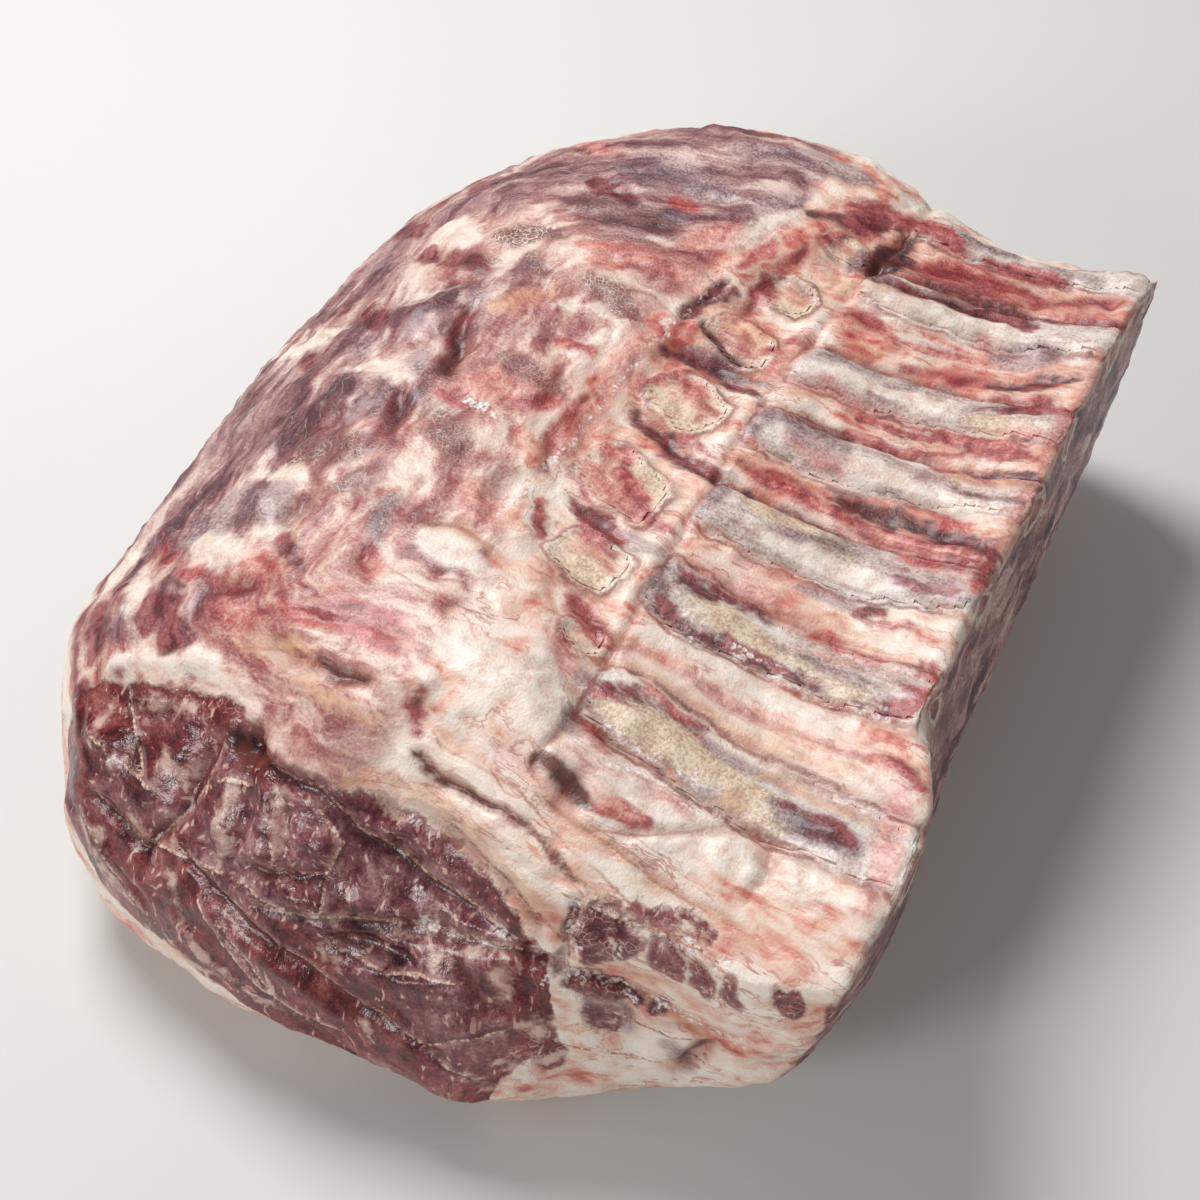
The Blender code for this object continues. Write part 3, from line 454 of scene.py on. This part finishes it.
CUT_FOLDS = ((-44, 101, -40, 102, 6, -6.0), (-38, 101, -14, 105, 2, 96, 26, 89, 66, 81, 2.6, -2.0), (-36, 105, -12, 109, 4, 100, 28, 93, 3.4, 1.6),
             (-54, 97, -62, 76, -70, 64, 3.0, -2.8), (-66, 92, -76, 76, 9, 3.0), (-98, 84, -84, 80, 7, 1.6), (-24, 71, 10, 75, 46, 80, 66, 80, 2.6, -2.0),
             (-16, 78, 20, 81, 3.6, 1.6), (-54, 70, -30, 65, 6, 53, 37, 42, 2.6, -2.2), (-46, 60, -20, 54, 10, 42, 4.4, 1.8), (-46, 90, -42, 78, 5, 2.4),
             (-32, 96, -28, 84, 5, 2.4), (-36, 88, -38, 78, 2.4, -2.2), (-22, 96, -18, 84, 2.4, -2.0), (-30, 79, -16, 83, -4, 86, 2.8, -2.6),
             (-12, 92, -2, 94, 5, 1.8), (70, 100, 69, 90, 71, 78, 2.2, -1.8), (60, 81, 90, 75, 104, 71, 2.2, -1.6), (76, 90, 92, 90, 9, 2.0),
             (0, 68, 16, 69, 30, 66, 4, -3.4), (-10, 72, 6, 73, 3, 1.8), (10, 62, 40, 64, 6, 2.4), (44, 70, 56, 64, 4, -1.8), (108, 40, 116, 58, 4, -3.0),
             (80, 56, 90, 40, 7, 1.6), (-94, 70, -68, 62, 3.0, -2.4), (-96, 60, -84, 46, 5, 1.6), (-56, 50, -30, 36, 3.4, 1.4), (-80, 52, -66, 44, 2.4, -1.4),
             (24, 54, 44, 40, 3.0, -1.6), (30, 34, 50, 22, 5, 1.6), (-20, 34, 10, 22, 3, -1.4), (100, 60, 112, 66, 3.0, -1.2), (126, 60, 140, 70, 7, 1.4),
             (86, 76, 92, 62, 2.4, -1.4), (34, 98, 60, 88, 3.0, 1.6), (20, 104, 44, 96, 62, 89, 1.8, -1.8), (40, 101, 62, 95, 2.6, 1.2), (60, 24, 84, 22, 8, 1.6))


def folds(marks, sheet):
    """The relief of raised and pressed marks, whose last number is the height."""
    total = np.zeros(len(place))
    for mark in marks:
        *line_and_half, height = mark
        total += height * ease((strokes([line_and_half], sheet) + 0.5 * line_and_half[-1]) / (1.5 * line_and_half[-1]))
    return total


pressed = np.minimum(folds(FOLDS, "top") + folds(CUT_FOLDS, "cut"), 0)
raised = folds([m for m in FOLDS if m[-1] > 0], "top") + folds([m for m in CUT_FOLDS if m[-1] > 0], "cut")
pressed = folds([m for m in FOLDS if m[-1] < 0], "top") + folds([m for m in CUT_FOLDS if m[-1] < 0], "cut")
for number, rib in enumerate(ribs, start=1):
    along = ease((rib.share + 0.02) / 0.05) * on_top
    sunk = number <= 2
    body = ease((rib.half - np.abs(rib.across)) / 4)
    raised += along * body * (-1.5 if sunk else 0.9)
    pressed -= along * (1.6 if sunk else 1.8) * np.exp(-((rib.across - rib.half - 0.5) / 1.9) ** 2)
    pressed -= along * (1.5 if sunk else 0.5) * np.exp(-((rib.across + rib.half + 0.5) / 1.7) ** 2)
pressed -= 1.4 * on_top * np.exp(-(past_saw / 1.8) ** 2) * ease((Y + 130) / 10)
for chine in chines:
    raised += on_top * (0.5 * np.exp(-((chine.inside - 1.5) / 1.6) ** 2) - 0.7 * ease((chine.inside - 2) / 4))
    pressed -= on_top * 0.5 * np.exp(-((chine.inside + 1.5) / 1.5) ** 2)
relief = raised + pressed - 0.6
relief += 1.1 * lumps(26, 2, 21) + (0.7 * lumps(9, 3, 22) + 0.32 * lumps(3.6, 2, 23)) * (1 - 0.5 * on_cut)
relief += 1.5 * lumps(10, 3, 24, (4.0, 1, 1.4), backwise) * (1 - tissue["plate"]) * on_top
relief += 0.5 * lumps(7, 2, 25, (4.0, 1, 1), ribwise) * tissue["plate"] * on_top
# Painted shade: how much the colour is darkened in the pressed creases and pits, where shade falls.
tissue["hollow"] = np.clip(-pressed / 2.2 - 0.25 * lumps(9, 3, 22), 0, 1)

moved = place + facing * relief[:, None]
for axis in range(3):
    for sign, limit in ((1, cad_high[axis] / MM), (-1, -cad_low[axis] / MM)):
        if axis == 2 and sign < 0:
            continue
        past = np.maximum(sign * moved[:, axis] - (limit - 1.6), 0)
        moved[:, axis] -= sign * (past - 1.55 * (1 - np.exp(-past / 1.55)))
moved[:, 2] = np.maximum(moved[:, 2], 0.05)
moved[:, 2] = np.where((Z < 1.5) & (facing[:, 2] < -0.9), 0.05, moved[:, 2])


def linear_colour(red, green, blue):
    """A display colour as the shader's own."""
    return tuple((c / 255 / 12.92 if c <= 10 else ((c / 255 + 0.055) / 1.055) ** 2.4)
                 for c in (red, green, blue)) + (1.0,)


class Shade:
    """One socket of a material. Arithmetic on it adds Math nodes, and node() adds any other node."""

    def __init__(self, tree, socket=None):
        self.tree, self.socket = tree, socket

    def node(self, kind, settings=None, feeds=None, output=0):
        made = self.tree.nodes.new(kind)
        for name, value in (settings or {}).items():
            if name == "stops":
                ramp = made.color_ramp.elements
                while len(ramp) < len(value):
                    ramp.new(1.0)
                for element, (position, colour) in zip(ramp, value):
                    element.position, element.color = position, colour
            else:
                setattr(made, name, value)
        for key, value in (feeds or {}).items():
            if isinstance(value, Shade):
                self.tree.links.new(value.socket, made.inputs[key])
            else:
                made.inputs[key].default_value = value
        return Shade(self.tree, made.outputs[output] if len(made.outputs) else None)

    def maths(self, operation, one, two):
        return self.node("ShaderNodeMath", {"operation": operation}, {0: one, 1: two})

    def __add__(self, other):
        return self.maths("ADD", self, other)

    def __sub__(self, other):
        return self.maths("SUBTRACT", self, other)

    def __rsub__(self, other):
        return self.maths("SUBTRACT", other, self)

    def __mul__(self, other):
        return self.maths("MULTIPLY", self, other)

    __radd__, __rmul__ = __add__, __mul__

    def step(self, low, high):
        """0 below low, 1 above high, smooth between."""
        return self.node("ShaderNodeMapRange", {"interpolation_type": "SMOOTHSTEP"},
                         {"Value": self, "From Min": low, "From Max": high})

    def ramp(self, *stops):
        return self.node("ShaderNodeValToRGB", {"stops": [(at, linear_colour(*colour)) for at, *colour in stops]},
                         {"Fac": self})

    def over(self, under, share):
        """This colour laid over another, by this share."""
        return self.node("ShaderNodeMix", {"data_type": "RGBA"}, {0: share, 6: under, 7: self}, output=2)


def tissue_material(name):
    """Raw beef: fat, membrane, lean and bone, told apart by the fields on the mesh, with painted shade and highlight.
    """
    material = bpy.data.materials.new(name)
    material.use_nodes = True
    tree = material.node_tree
    shader = tree.nodes["Principled BSDF"]
    start = Shade(tree)
    here = start.node("ShaderNodeTexCoord", output=3)

    def field(kind):
        return start.node("ShaderNodeAttribute", {"attribute_name": kind}, output=2)

    def runs(kind):
        return start.node("ShaderNodeAttribute", {"attribute_name": kind}, output=1)

    def grain(at, scale, detail=3.0, rough=0.55, stretch=None):
        if stretch:
            at = start.node("ShaderNodeMapping", {"vector_type": "TEXTURE"}, {"Vector": at, "Scale": stretch})
        return start.node("ShaderNodeTexNoise", feeds={"Vector": at, "Scale": scale, "Detail": detail,
                                                       "Roughness": rough})

    swirl, ribwise, backwise = runs("swirl"), runs("ribwise"), runs("backwise")
    plate, coarse = field("plate"), field("coarse")
    mid, fine = grain(swirl, 170, 3, 0.56), grain(here, 900, 1, 0.6)
    streak = (grain(ribwise, 120, 4, 0.62, (5.0, 1.0, 1.0)) * plate
              + grain(backwise, 90, 4, 0.58, (4.0, 1.0, 1.0)) * (1 - plate))
    strand = grain(backwise, 230, 1, 0.5, (6.0, 1.0, 1.0))
    upright = grain(swirl, 480, 1, 0.5, (1.0, 1.0, 4.6))
    fray = (streak - 0.5) * 22 + (mid - 0.5) * 8
    crumb = (mid - 0.5) * 16 + (fine - 0.5) * 4

    def cover(kind, soft, frays=fray, much=1.0):
        return (field(kind) + frays * much).step(-soft, soft)

    def hairline(value, at, wide, soft):
        """1 along the thin lines where this value passes a level."""
        gap = start.node("ShaderNodeMath", {"operation": "ABSOLUTE"}, {0: value - at})
        return 1 - gap.step(wide, wide + soft)

    fat = (coarse * 0.35 + streak * 0.45 + mid * 0.2 - field("flush") * 0.055).ramp(
        (0.36, 182, 80, 78), (0.41, 214, 138, 122), (0.46, 234, 192, 172), (0.51, 243, 221, 205),
        (0.58, 247, 235, 224), (0.68, 242, 217, 190))
    blush = mid.ramp((0.4, 160, 62, 66), (0.6, 208, 132, 120))
    colour = blush.over(fat, hairline(streak, 0.455, 0.002, 0.024) * coarse.step(0.42, 0.56) * 0.6)
    sinew = streak * 0.72 + strand * 0.16 + fine * 0.12
    rosy = sinew.ramp(
        (0.38, 128, 58, 60), (0.44, 164, 96, 92), (0.49, 190, 138, 127), (0.54, 215, 180, 163), (0.62, 238, 216, 201))
    plum = sinew.ramp(
        (0.38, 84, 44, 50), (0.44, 120, 74, 78), (0.49, 150, 106, 106), (0.54, 180, 142, 136), (0.61, 222, 196, 186))
    ageing = (field("aged") + (coarse - 0.5) * 1.2).step(0.1, 0.9)
    membrane = plum.over(rosy, ageing)
    # The right flank: its own plum, pink and cream streaks, painted darker as shade because it faces away from the
    # lamps.
    flank = (grain(swirl, 120, 4, 0.6, (1.0, 3.5, 1.0)) * 0.8 + fine * 0.2).ramp(
        (0.38, 62, 24, 34), (0.44, 108, 54, 62), (0.50, 150, 96, 96), (0.56, 190, 144, 138), (0.64, 226, 198, 188))
    colour = membrane.over(colour, cover("membrane", 4.0))
    colour = flank.over(colour, field("flank"))
    sawn = fine.ramp((0.4, 196, 168, 150), (0.6, 230, 212, 196))
    colour = sawn.over(colour, cover("tip", 0.6, crumb, 0.1))
    marrow = mid.ramp((0.4, 112, 40, 40), (0.6, 188, 118, 104))
    colour = marrow.over(colour, (field("tip") - 2.0 + crumb * 0.2).step(-0.6, 0.6))
    pale = fine.ramp((0.4, 208, 176, 164), (0.6, 236, 222, 212))
    colour = pale.over(colour, hairline(strand, 0.5, 0.004, 0.014) * cover("membrane", 3.0) * coarse.step(0.44, 0.54) * 0.25)
    bone = (streak * 0.7 + fine * 0.3).ramp(
        (0.38, 146, 122, 118), (0.45, 188, 170, 163), (0.51, 213, 202, 195), (0.58, 230, 225, 219))
    colour = bone.over(colour, cover("bone", 2.2, fray, 0.5) * 0.8)
    ring = (mid * 0.5 + fine * 0.5).ramp((0.4, 208, 174, 152), (0.5, 230, 206, 184), (0.6, 240, 225, 206))
    colour = ring.over(colour, (field("core") + 1.0 + crumb * 0.3 + fray * 0.15).step(-2.0, 2.0) * 0.75)
    core = (streak * 0.5 + mid * 0.5).ramp((0.40, 164, 66, 60), (0.47, 206, 128, 108), (0.55, 232, 190, 164))
    colour = core.over(colour, (field("core") - 4.4 + fray * 0.35).step(-2.0, 2.0) * 0.65)
    tan = (mid * 0.4 + fine * 0.6).ramp((0.40, 190, 158, 132), (0.5, 214, 188, 162), (0.6, 228, 208, 184))
    colour = tan.over(colour, cover("tan", 2.2, crumb, 0.5) * 0.92)
    white = (mid * 0.7 + fine * 0.3).ramp((0.38, 220, 192, 176), (0.5, 236, 218, 204), (0.62, 242, 231, 221))
    colour = white.over(colour, cover("white", 2.6, fray, 0.7) * 0.9)
    pink = (mid * 0.7 + fine * 0.3).ramp((0.38, 158, 64, 66), (0.5, 200, 116, 108), (0.62, 230, 176, 160))
    colour = pink.over(colour, cover("pink", 3.6, fray, 1.0) * 0.75)
    dusk = (streak * 0.7 + fine * 0.3).ramp((0.40, 82, 54, 62), (0.5, 132, 100, 106), (0.60, 186, 160, 156))
    colour = dusk.over(colour, cover("dusk", 2.5, fray, 0.7) * 0.85)
    ochre = mid.ramp((0.38, 188, 116, 86), (0.6, 228, 184, 150))
    colour = ochre.over(colour, cover("ochre", 2.6, crumb, 0.6) * 0.7)
    edge = mid.ramp((0.4, 112, 44, 44), (0.6, 176, 104, 94))
    colour = edge.over(colour, hairline(field("edge") + crumb * 0.25, 0.3, 0.2, 1.1) * coarse.step(0.32, 0.54) * 0.7)
    cell = start.node("ShaderNodeTexVoronoi", {"feature": "DISTANCE_TO_EDGE"}, {"Vector": swirl, "Scale": 520.0})
    brown = mid.ramp((0.40, 88, 48, 48), (0.58, 128, 80, 76))
    inprint = cover("imprint", 3.0, crumb, 0.6)
    colour = brown.over(colour, inprint * (cell + (fine - 0.5) * 0.3).step(-0.02, 0.11) * 0.88)
    fibre = streak * 0.58 + fine * 0.16 + strand * 0.26
    red = fibre.ramp((0.40, 96, 10, 20), (0.47, 142, 36, 44), (0.54, 182, 84, 82), (0.62, 220, 154, 142))
    colour = red.over(colour, cover("red", 2.0, fray, 0.75) * 0.92)
    # Deep red muscle, and painted shadow beside the back muscle's arch folds.
    deep = fibre.ramp((0.41, 54, 8, 16), (0.5, 102, 26, 36), (0.58, 156, 76, 80))
    colour = deep.over(colour, cover("deep", 1.8, fray, 0.7) * 0.93)

    lean = cover("lean", 1.2, crumb, 0.45)
    tone = coarse * 0.35 + mid * 0.35 + upright * 0.12 + fine * 0.18
    wine = tone.ramp(
        (0.38, 50, 8, 12), (0.45, 88, 24, 28), (0.52, 126, 50, 50), (0.62, 172, 98, 90))
    grey = tone.ramp(
        (0.38, 62, 20, 28), (0.45, 102, 50, 57), (0.52, 138, 84, 88), (0.62, 184, 142, 140))
    muscle = grey.over(wine, ageing)
    suet = mid.ramp((0.38, 178, 128, 118), (0.6, 222, 192, 178))
    muscle = suet.over(muscle, (upright * 0.85 + coarse * 0.15).step(0.62, 0.67) * 0.85)
    muscle = suet.over(muscle, cover("fleck", 1.6, crumb, 0.5) * 0.8)
    net = start.node("ShaderNodeTexVoronoi", {"feature": "DISTANCE_TO_EDGE"}, {"Vector": swirl, "Scale": 360.0})
    muscle = suet.over(muscle, (1 - net.step(0.0, 0.09)) * field("lobe") * mid.step(0.42, 0.58) * 0.6)
    colour = muscle.over(colour, lean)

    wobble = (fine - 0.5) * 0.5 + (mid - 0.5) * 1.0
    # Painted light along the seams of the cut: a painted shadow on one side of each seam and a painted highlight on the
    # other, as on a fold lit from above.
    lip = field("seam_at") + wobble
    by_seam = field("seam").step(0.0, 1.2) * mid.step(0.30, 0.48)
    seam_line = hairline(lip, 0.0, 0.22, 0.5) * by_seam
    painted_seam_shadow = (0 - lip).step(0.1, 0.6) * (1 - (0 - lip).step(0.6, 3.0)) * by_seam
    colour = mid.ramp((0.4, 34, 8, 10), (0.6, 70, 26, 28)).over(colour, painted_seam_shadow * 0.5 * lean)
    painted_seam_highlight = lip.step(0.3, 0.8) * (1 - lip.step(0.8, 2.6)) * by_seam
    colour = mid.ramp((0.4, 158, 108, 112), (0.6, 206, 172, 170)).over(colour, painted_seam_highlight * 0.4 * lean)
    seam = (mid * 0.5 + fine * 0.5).ramp((0.42, 140, 90, 74), (0.5, 190, 146, 126), (0.58, 232, 208, 194))
    colour = seam.over(colour, seam_line * 0.9)
    thread_line = (hairline(field("thread_at") + wobble, 0.0, 0.1, 0.7)
                   * (field("thread") + crumb * 0.5).step(0.0, 2.0) * coarse.step(0.36, 0.60))
    thread = mid.ramp((0.42, 150, 80, 62), (0.58, 196, 128, 104))
    colour = thread.over(colour, thread_line * 0.6)
    bead = start.node("ShaderNodeTexVoronoi", feeds={"Vector": swirl, "Scale": 520.0})
    frothed = cover("froth", 1.0, crumb, 0.5) * (1 - bead.step(0.40, 0.66))
    froth = fine.ramp((0.42, 214, 190, 180), (0.56, 246, 242, 240))
    colour = froth.over(colour, frothed * 0.9)
    # Painted shade in the pits and pressed creases, over their own dark red-brown.
    black = mid.ramp((0.42, 48, 18, 18), (0.58, 116, 54, 46))
    colour = black.over(colour, cover("black", 1.6, crumb, 0.4) * 0.92)
    # Painted shade: the colour is multiplied darker in the pressed creases and pits, less on the lean.
    shade = start.node("ShaderNodeMix", {"data_type": "RGBA", "blend_type": "MULTIPLY"},
                       {0: field("hollow") * (0.7 - lean * 0.3), 6: colour, 7: linear_colour(172, 110, 98)}, output=2)
    tree.links.new(shade.socket, shader.inputs["Base Color"])

    height = (streak * 0.45 + mid * 0.26 + strand * 0.08) * (1 - lean * 0.55) + fine * 0.12
    bump = start.node("ShaderNodeBump", feeds={"Strength": 1.0, "Distance": 0.0017, "Height": height})
    tree.links.new(bump.socket, shader.inputs["Normal"])
    gloss = 0.30 + mid * 0.34 - lean * 0.18
    tree.links.new(gloss.socket, shader.inputs["Roughness"])
    shader.inputs["Subsurface Weight"].default_value = 0.0
    shader.inputs["Subsurface Radius"].default_value = (1.0, 0.35, 0.25)
    shader.inputs["Subsurface Scale"].default_value = 0.002
    shader.inputs["Coat Weight"].default_value = 0.15
    shader.inputs["Coat Roughness"].default_value = 0.2
    return material


def finished(mesh, name, slot, nodes, crisp_over=math.pi):
    """Links a finished mesh as a piece that stands for these CAD nodes. Edges over this angle stay crisp."""
    mesh.shade_smooth()
    mesh.set_sharp_from_angle(angle=crisp_over)
    mesh.materials.clear()
    mesh.materials.append(tissue_material(slot + "_finish"))
    obj = bpy.data.objects.new(name, mesh)
    bpy.context.scene.collection.objects.link(obj)
    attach(obj, "root")
    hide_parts(*nodes)
    return obj


slab = bpy.data.meshes.new("slab")
skin.to_mesh(slab)
skin.free()
slab.vertices.foreach_set("co", (moved * MM).astype(np.float32).ravel())
for kind, values in tissue.items():
    slab.attributes.new(kind, "FLOAT", "POINT").data.foreach_set("value", values.astype(np.float32))
for kind, values in (("ribwise", ribwise), ("backwise", backwise), ("swirl", swirl)):
    slab.attributes.new(kind, "FLOAT_VECTOR", "POINT").data.foreach_set("vector", (values * MM).astype(np.float32).ravel())
slab.update()

# ---- the bones ----------------------------------------------------------------------------------------
# Seven ribs, sawn off square at their tips and split from the spine at their roots, and the seven halves
# of the vertebrae that they grew from. Each shows through the skin where its membrane has worn thin.

BONE_SHOWS = 1.5  # this far inside its outline a bone breaks the surface
BONE_DEEP = 6.0 * MM
BONE_RIM = math.radians(50)  # the rim, so that a bone's face runs on into the slab's
UNDER_BONE = 1.0


def bone_mesh(bone):
    """The part of the skin over a bone, made a solid."""
    bm = bmesh.new()
    bm.from_mesh(slab)
    bm.verts.ensure_lookup_table()
    inside = (bone.inside > BONE_SHOWS) & (on_top > 0.5)
    dropped = [f for f in bm.faces if not all(inside[v.index] for v in f.verts)]
    bmesh.ops.delete(bm, geom=dropped, context="FACES")
    tops = list(bm.faces)
    made = bmesh.ops.extrude_face_region(bm, geom=tops)
    lowered = [g for g in made["geom"] if isinstance(g, bmesh.types.BMVert)]
    bmesh.ops.translate(bm, verts=lowered, vec=(0, 0, -BONE_DEEP))
    bmesh.ops.recalc_face_normals(bm, faces=bm.faces)
    mesh = bpy.data.meshes.new(bone.node)
    bm.to_mesh(mesh)
    bm.free()
    return mesh


bone_meshes = [(bone, bone_mesh(bone)) for bone in ribs + chines]
for bone in ribs + chines:
    moved -= facing * (UNDER_BONE * ease((bone.inside - BONE_SHOWS - 0.2) / 2) * on_top)[:, None]
slab.vertices.foreach_set("co", (moved * MM).astype(np.float32).ravel())
slab.update()
finished(slab, "beef_slab", "meat", ["meat"])
for bone, mesh in bone_meshes:
    finished(mesh, bone.node.replace("_bone", "_bone_skin"), bone.node[:-2], [bone.node], BONE_RIM)

# ---- the table, the light and the view ----------------------------------------------------------------
# A pale floor under one wide soft lamp, with a weak one in front and the room's own light.

FLOOR_HALF = 3.0
floor_bm = bmesh.new()
bmesh.ops.create_grid(floor_bm, x_segments=1, y_segments=1, size=FLOOR_HALF)
floor_mesh = bpy.data.meshes.new("floor")
floor_bm.to_mesh(floor_mesh)
floor_bm.free()
floor = bpy.data.objects.new("floor", floor_mesh)
bpy.context.scene.collection.objects.link(floor)
floor_material = bpy.data.materials.new("floor")
floor_material.use_nodes = True
floor_shader = floor_material.node_tree.nodes["Principled BSDF"]
floor_shader.inputs["Base Color"].default_value = (0.72, 0.71, 0.69, 1.0)
floor_shader.inputs["Roughness"].default_value = 0.8
floor_mesh.materials.append(floor_material)


def lamp(name, place, target, size, watts):
    data = bpy.data.lights.new(name, "AREA")
    data.shape = "DISK"
    data.size, data.energy = size, watts
    obj = bpy.data.objects.new(name, data)
    bpy.context.scene.collection.objects.link(obj)
    obj.location = place
    obj.rotation_euler = (Vector(target) - Vector(place)).to_track_quat("-Z", "Y").to_euler()


lamp("overhead", (-0.6, 0.35, 1.2), (0, 0, 0.05), 0.6, 15.5)
lamp("front", (-0.4, -1.2, 0.8), (0, 0, 0.05), 0.4, 6)
world = bpy.data.worlds.new("room")
world.use_nodes = True
world.node_tree.nodes["Background"].inputs["Color"].default_value = (1.0, 1.0, 1.0, 1.0)
world.node_tree.nodes["Background"].inputs["Strength"].default_value = 0.26
bpy.context.scene.world = world
bpy.context.scene.view_settings.view_transform = "Standard"

AZIMUTH, ELEVATION, DISTANCE = math.radians(27), math.radians(50), 0.6815
LOOK_AT = Vector((0.0138, -0.0237, 0.0714))
back = Vector((math.sin(AZIMUTH) * math.cos(ELEVATION), -math.cos(AZIMUTH) * math.cos(ELEVATION),
               math.sin(ELEVATION)))
camera_data = bpy.data.cameras.new("camera")
camera_data.lens = 60.0
camera_data.sensor_width = 36.0
camera = bpy.data.objects.new("camera", camera_data)
bpy.context.scene.collection.objects.link(camera)
camera.location = LOOK_AT + back * DISTANCE
camera.rotation_euler = (-back).to_track_quat("-Z", "Y").to_euler()
bpy.context.scene.camera = camera
